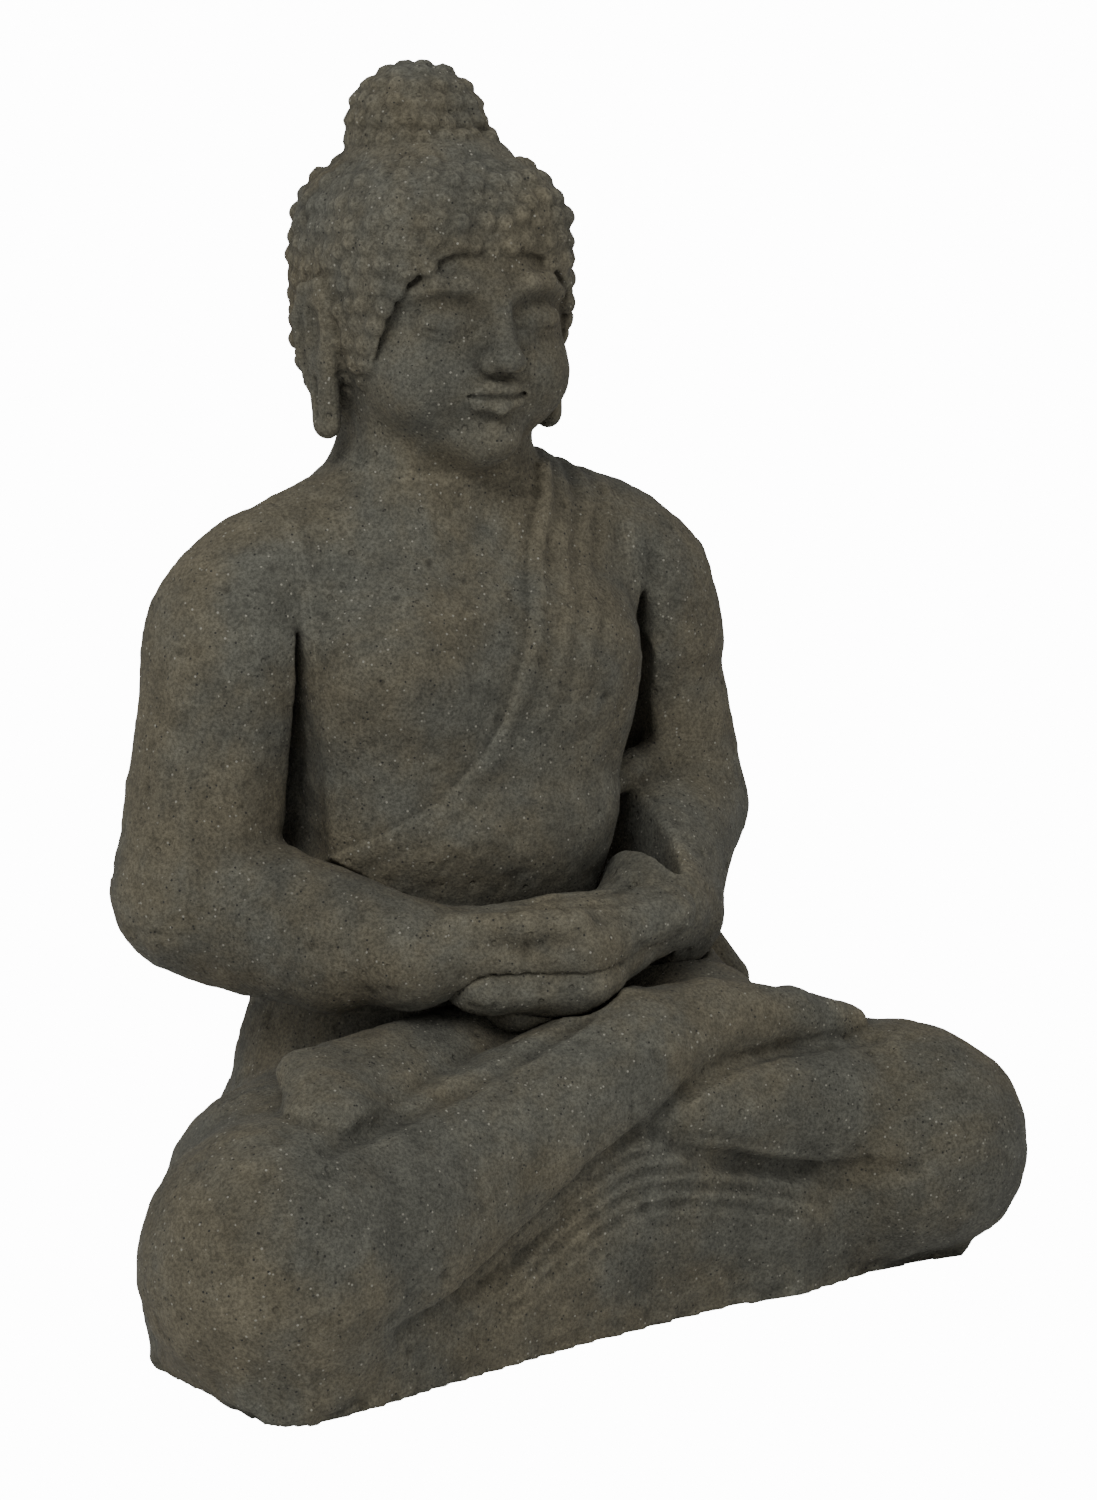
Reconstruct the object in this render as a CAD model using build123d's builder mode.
"""Seated buddha garden figure, cast in five sections bedded in mortar on steel dowels.

The figure sits cross-legged and faces -Y, so its own right side is at -X. The origin is on the ground
under the middle of the flat base and +Z is up. All sizes are in millimetres.
"""

import os
from math import asin, degrees

from build123d import *

# Driving dimensions
HEIGHT = 400
TORSO_Y = 37  # the torso's upright axis stands this far behind the middle of the base
BED = 2  # thickness of every mortar bed

# Joint planes between the castings
LAP_Z = 96  # flat top of the legs, under the waist and under the hands
SHOULDER_X = 59  # flat ends of the torso at both shoulders
HANDS_Z = 111  # top of the lower hand
NECK_Z = 270  # height of the neck joint on the torso's axis
NECK_TILT = 10  # degrees; the neck joint is lower at the throat than at the nape

# Trunk and arms. Paired points are given for the left side, at +X
NAPE = (4, TORSO_Y + 9, 251)
NAPE_R = 28
SHOULDER = (73, TORSO_Y + 3, 220)
SHOULDER_R = 27
ELBOW = (89, TORSO_Y + 1, 136)
ELBOW_R = 26
RIGHT_WRIST = (-44, TORSO_Y - 62, 122)
LEFT_WRIST = (50, TORSO_Y - 57, 122)
WRIST_R = 16
FINGER_R = 6.5
FINGER_PITCH = 10

# Raised hem of the robe, from the left of the neck to the right of the belly
HEM = [
    (30, TORSO_Y - 18, 252),
    (10, TORSO_Y - 39, 222),
    (-2, TORSO_Y - 46, 196),
    (-22, TORSO_Y - 42, 172),
    (-46, TORSO_Y - 25, 154),
]
HEM_R = 5

# Legs
HIP = (36, TORSO_Y + 18, 38)
HIP_R = 41
RIGHT_KNEE = (-110, TORSO_Y - 105, 44)
RIGHT_KNEE_R = 43
LEFT_KNEE = (131, TORSO_Y - 84, 38)
LEFT_KNEE_R = 37
RIGHT_ANKLE = (26, TORSO_Y - 84, 76)
RIGHT_ANKLE_R = 20
LEFT_ANKLE = (38, TORSO_Y - 95, 66)
LEFT_ANKLE_R = 14
HEEL_R = 13
TOE_R = 11

# Outline of the solid base under the legs
BASE_THICK = 34
BASE = [
    (-142, TORSO_Y - 84),
    (-134, TORSO_Y - 128),
    (-112, TORSO_Y - 139),
    (50, TORSO_Y - 107),
    (148, TORSO_Y - 100),
    (156, TORSO_Y - 84),
    (148, TORSO_Y - 50),
    (78, TORSO_Y + 42),
    (56, TORSO_Y + 60),
    (-56, TORSO_Y + 60),
    (-78, TORSO_Y + 42),
]

# Head
SKULL = (0, TORSO_Y + 2, 325)
SKULL_R = 43
JAW = (0, TORSO_Y - 14, 298)
JAW_R = 27
HAIR_R = 45
HAIR_LINE = (0, TORSO_Y - 40, 347)
HAIR_LEAN = 42  # degrees; the hair line runs down and back towards the ears
TOPKNOT_R = 24
TOPKNOT_TIER_R = 29

# Steel
DOWEL_R = 5
PIN_R = 3
DOWEL_CHAMFER = 1


def mirrored(point):
    """The same point on the figure's other side."""
    return (-point[0], point[1], point[2])


def on_head(x, front, z):
    """A point of the head, given by its distance in front of the torso's axis."""
    return (x, TORSO_Y - front, z)


def limb(start, end, start_r, end_r):
    """Add a tapered round limb between two balls, as one revolved outline."""
    run = Vector(*end) - Vector(*start)
    taper = degrees(asin((start_r - end_r) / run.length))
    outline_plane = Plane(origin=start, x_dir=run, z_dir=run.cross(Vector(1, 1, 1)))
    with BuildSketch(outline_plane) as outline:
        with BuildLine():
            near = CenterArc((0, 0), start_r, 90 - taper, 90 + taper)
            far = CenterArc((run.length, 0), end_r, 0, 90 - taper)
            Line(near @ 0, far @ 1)
            Line(near @ 1, far @ 0)
        make_face()
    revolve(outline.sketch, axis=Axis(start, run))


def ball(centre, radius):
    """Add a ball."""
    with Locations(centre):
        Sphere(radius)


def rod(start, direction, length, radius):
    """Add a round bar with chamfered ends."""
    with BuildSketch(Plane(origin=start, z_dir=direction)) as end:
        Circle(radius)
    bar = extrude(end.sketch, amount=length)
    chamfer(bar.edges().filter_by(GeomType.CIRCLE), DOWEL_CHAMFER)


# The steel is made first, because every casting is drilled for it
NECK_JOINT = Plane((0, TORSO_Y, NECK_Z), x_dir=(1, 0, 0), z_dir=(0, 0, 1)).rotated((NECK_TILT, 0, 0))

with BuildPart() as waist_dowels:
    with BuildSketch(Plane((0, TORSO_Y, LAP_Z - 32))):
        with GridLocations(56, 1, 2, 1):
            Circle(DOWEL_R)
    extrude(amount=72)
    chamfer(waist_dowels.edges().filter_by(GeomType.CIRCLE), DOWEL_CHAMFER)

with BuildPart() as neck_dowel:
    rod((0, TORSO_Y + 9, NECK_Z - 38), (0, 0, 1), 78, DOWEL_R)

with BuildPart() as left_shoulder_dowel:
    rod((SHOULDER_X - 24, SHOULDER[1], SHOULDER[2]), (1, 0, 0), 50, DOWEL_R)

with BuildPart() as right_shoulder_dowel:
    mirror(left_shoulder_dowel.part, about=Plane.YZ)

with BuildPart() as hand_pin:
    rod((2, TORSO_Y - 70, LAP_Z - 24), (0, 0, 1), 46, PIN_R)


def trunk():
    """Add the waist, chest, shoulders and neck, before the joints are cut."""
    sections = [
        (LAP_Z - 30, 60, 47, -1),
        (LAP_Z, 59, 48, -1),
        (132, 53, 46, -2),
        (165, 54, 44, -3),
        (195, 57, 45, -3),
        (228, 58, 41, 0),
        (250, 44, 33, 4),
        (264, 35, 30, 6),
        (300, 31, 29, 7),
    ]
    outlines = []
    for height, half_width, half_depth, back in sections:
        with BuildSketch(Plane((0, TORSO_Y + back, height))) as outline:
            Ellipse(half_width, half_depth)
        outlines.append(outline.sketch)
    loft(outlines)
    limb(mirrored(SHOULDER), SHOULDER, SHOULDER_R, SHOULDER_R)
    slope_end = (SHOULDER_X, TORSO_Y + 5, SHOULDER[2] + 12)
    limb(NAPE, slope_end, NAPE_R, NAPE_R - 2)
    limb(mirrored(NAPE), mirrored(slope_end), NAPE_R, NAPE_R - 2)


with BuildPart() as torso:
    trunk()
    for start, end in zip(HEM, HEM[1:]):
        limb(start, end, HEM_R, HEM_R)
    split(bisect_by=Plane.XY.offset(LAP_Z + BED), keep=Keep.TOP)
    split(bisect_by=Plane.YZ.offset(SHOULDER_X), keep=Keep.BOTTOM)
    split(bisect_by=Plane.YZ.offset(-SHOULDER_X), keep=Keep.TOP)
    split(bisect_by=NECK_JOINT, keep=Keep.BOTTOM)
    for steel in (waist_dowels, neck_dowel, left_shoulder_dowel, right_shoulder_dowel):
        add(steel.part, mode=Mode.SUBTRACT)


with BuildPart() as crossed_legs:
    with BuildSketch(Plane.XY):
        with BuildLine():
            Polyline(*BASE, close=True)
        make_face()
    extrude(amount=BASE_THICK)
    # hips, thighs and the block under the waist
    with BuildSketch(Plane((0, TORSO_Y + 1, 0))):
        Ellipse(60, 48)
    extrude(amount=LAP_Z)
    limb(mirrored(HIP), HIP, HIP_R, HIP_R)
    limb(mirrored(HIP), RIGHT_KNEE, HIP_R - 3, RIGHT_KNEE_R)
    limb(HIP, LEFT_KNEE, HIP_R - 3, LEFT_KNEE_R)
    # shins, the right one on top and running out into its foot
    limb(LEFT_KNEE, LEFT_ANKLE, LEFT_KNEE_R - 3, LEFT_ANKLE_R)
    limb(RIGHT_KNEE, RIGHT_ANKLE, RIGHT_KNEE_R - 1, RIGHT_ANKLE_R)
    limb((26, TORSO_Y - 80, 83), (108, TORSO_Y - 80, 84), HEEL_R, TOE_R)
    # left foot on the right thigh
    limb((-6, TORSO_Y - 57, 83), (-94, TORSO_Y - 100, 83), HEEL_R, TOE_R)
    # crossed ankles, where the hands rest
    limb((-20, TORSO_Y - 64, 71), (20, TORSO_Y - 66, 71), 27, 26.5)
    split(bisect_by=Plane.XY, keep=Keep.TOP)
    split(bisect_by=Plane.XY.offset(LAP_Z), keep=Keep.BOTTOM)
    add(waist_dowels.part, mode=Mode.SUBTRACT)
    add(hand_pin.part, mode=Mode.SUBTRACT)


with BuildPart() as hair:
    ball((0, SKULL[1] + 3, SKULL[2] + 2), HAIR_R)
    hair_cut = Plane(origin=HAIR_LINE, x_dir=(1, 0, 0), z_dir=(0, 0, 1)).rotated((-HAIR_LEAN, 0, 0))
    split(bisect_by=hair_cut, keep=Keep.TOP)

with BuildPart() as head:
    trunk()
    split(bisect_by=NECK_JOINT.offset(BED), keep=Keep.TOP)
    limb(SKULL, JAW, SKULL_R, JAW_R)
    add(hair.part)
    ball((0, TORSO_Y + 12, HEIGHT - TOPKNOT_R), TOPKNOT_R)
    ball((0, TORSO_Y + 8, 355), TOPKNOT_TIER_R)
    # a plain, regular face
    limb(on_head(0, 42, 326), on_head(0, 45, 308), 3, 5)
    limb(on_head(-8, 38, 294), on_head(8, 38, 294), 4, 4)
    for side in (-1, 1):
        limb(on_head(side * 11, 40, 324), on_head(side * 25, 33, 322), 4, 3)
        # long ears
        limb(on_head(side * 43, -5, 324), on_head(side * 42, -1, 286), 7, 6)
    add(neck_dowel.part, mode=Mode.SUBTRACT)


def finger_rows(start_x, end_x, first_front, height):
    """Add four straight fingers side by side, from the knuckles to the tips."""
    for row in range(4):
        front = first_front - row * FINGER_PITCH
        limb(on_head(start_x, front, height), on_head(end_x, front, height), FINGER_R, FINGER_R - 1)


def upper_arm(shoulder, elbow, keep):
    """Add an upper arm from its flat shoulder joint to the elbow."""
    out = 1 if shoulder[0] > 0 else -1
    limb((out * (SHOULDER_X - 9), shoulder[1], shoulder[2]), shoulder, SHOULDER_R, SHOULDER_R)
    limb(shoulder, elbow, SHOULDER_R, ELBOW_R)
    split(bisect_by=Plane.YZ.offset(out * (SHOULDER_X + BED)), keep=keep)


with BuildPart() as left_hand:
    limb((38, TORSO_Y - 64, 110), (4, TORSO_Y - 72, 106), 14, 12)
    finger_rows(4, -34, 88, 104)
    split(bisect_by=Plane.XY.offset(LAP_Z + BED), keep=Keep.TOP)
    split(bisect_by=Plane.XY.offset(HANDS_Z), keep=Keep.BOTTOM)

with BuildPart() as left_arm:
    upper_arm(SHOULDER, ELBOW, Keep.TOP)
    limb(ELBOW, LEFT_WRIST, ELBOW_R - 2, WRIST_R)
    add(left_hand.part)
    add(left_shoulder_dowel.part, mode=Mode.SUBTRACT)
    add(hand_pin.part, mode=Mode.SUBTRACT)

with BuildPart() as right_hand:
    limb((-36, TORSO_Y - 66, 120), (4, TORSO_Y - 72, 120), 14, 12)
    finger_rows(4, 46, 87, 120)
    split(bisect_by=Plane.XY.offset(HANDS_Z + BED), keep=Keep.TOP)

with BuildPart() as right_arm:
    upper_arm(mirrored(SHOULDER), mirrored(ELBOW), Keep.BOTTOM)
    limb(mirrored(ELBOW), RIGHT_WRIST, ELBOW_R - 2, WRIST_R)
    add(right_hand.part)
    add(left_arm.part, mode=Mode.SUBTRACT)
    add(right_shoulder_dowel.part, mode=Mode.SUBTRACT)
    add(hand_pin.part, mode=Mode.SUBTRACT)

# Mortar, as flat beds between the joint planes and one lump under the left elbow
with BuildPart() as waist_mortar:
    trunk()
    split(bisect_by=Plane.XY.offset(LAP_Z), keep=Keep.TOP)
    split(bisect_by=Plane.XY.offset(LAP_Z + BED), keep=Keep.BOTTOM)
    add(waist_dowels.part, mode=Mode.SUBTRACT)

with BuildPart() as neck_mortar:
    trunk()
    split(bisect_by=NECK_JOINT, keep=Keep.TOP)
    split(bisect_by=NECK_JOINT.offset(BED), keep=Keep.BOTTOM)
    add(neck_dowel.part, mode=Mode.SUBTRACT)

with BuildPart() as left_shoulder_mortar:
    with BuildSketch(Plane.YZ.offset(SHOULDER_X)):
        with Locations((SHOULDER[1], SHOULDER[2])):
            Circle(SHOULDER_R)
            Circle(DOWEL_R, mode=Mode.SUBTRACT)
    extrude(amount=BED)

with BuildPart() as right_shoulder_mortar:
    mirror(left_shoulder_mortar.part, about=Plane.YZ)

with BuildPart() as lap_mortar:
    with BuildSketch(Plane((-4, TORSO_Y - 66, LAP_Z))):
        Ellipse(26, 9)
    extrude(amount=BED)
    add(hand_pin.part, mode=Mode.SUBTRACT)

with BuildPart() as hand_mortar:
    with BuildSketch(Plane((-3, TORSO_Y - 68, HANDS_Z))):
        Ellipse(24, 12)
    extrude(amount=BED)
    add(hand_pin.part, mode=Mode.SUBTRACT)

with BuildPart() as left_elbow_mortar:
    with BuildSketch(Plane((90, TORSO_Y - 12, 66))):
        Circle(11)
    extrude(amount=60)
    add(left_arm.part, mode=Mode.SUBTRACT)
    add(crossed_legs.part, mode=Mode.SUBTRACT)

PIECES = {
    "crossed_legs": crossed_legs,
    "torso": torso,
    "head": head,
    "right_arm": right_arm,
    "left_arm": left_arm,
    "waist_dowels": waist_dowels,
    "neck_dowel": neck_dowel,
    "right_shoulder_dowel": right_shoulder_dowel,
    "left_shoulder_dowel": left_shoulder_dowel,
    "hand_pin": hand_pin,
    "waist_mortar": waist_mortar,
    "neck_mortar": neck_mortar,
    "right_shoulder_mortar": right_shoulder_mortar,
    "left_shoulder_mortar": left_shoulder_mortar,
    "lap_mortar": lap_mortar,
    "hand_mortar": hand_mortar,
    "left_elbow_mortar": left_elbow_mortar,
}

os.makedirs("parts", exist_ok=True)
for name, piece in PIECES.items():
    piece.part.label = name
    export_step(piece.part, f"parts/{name}.step")
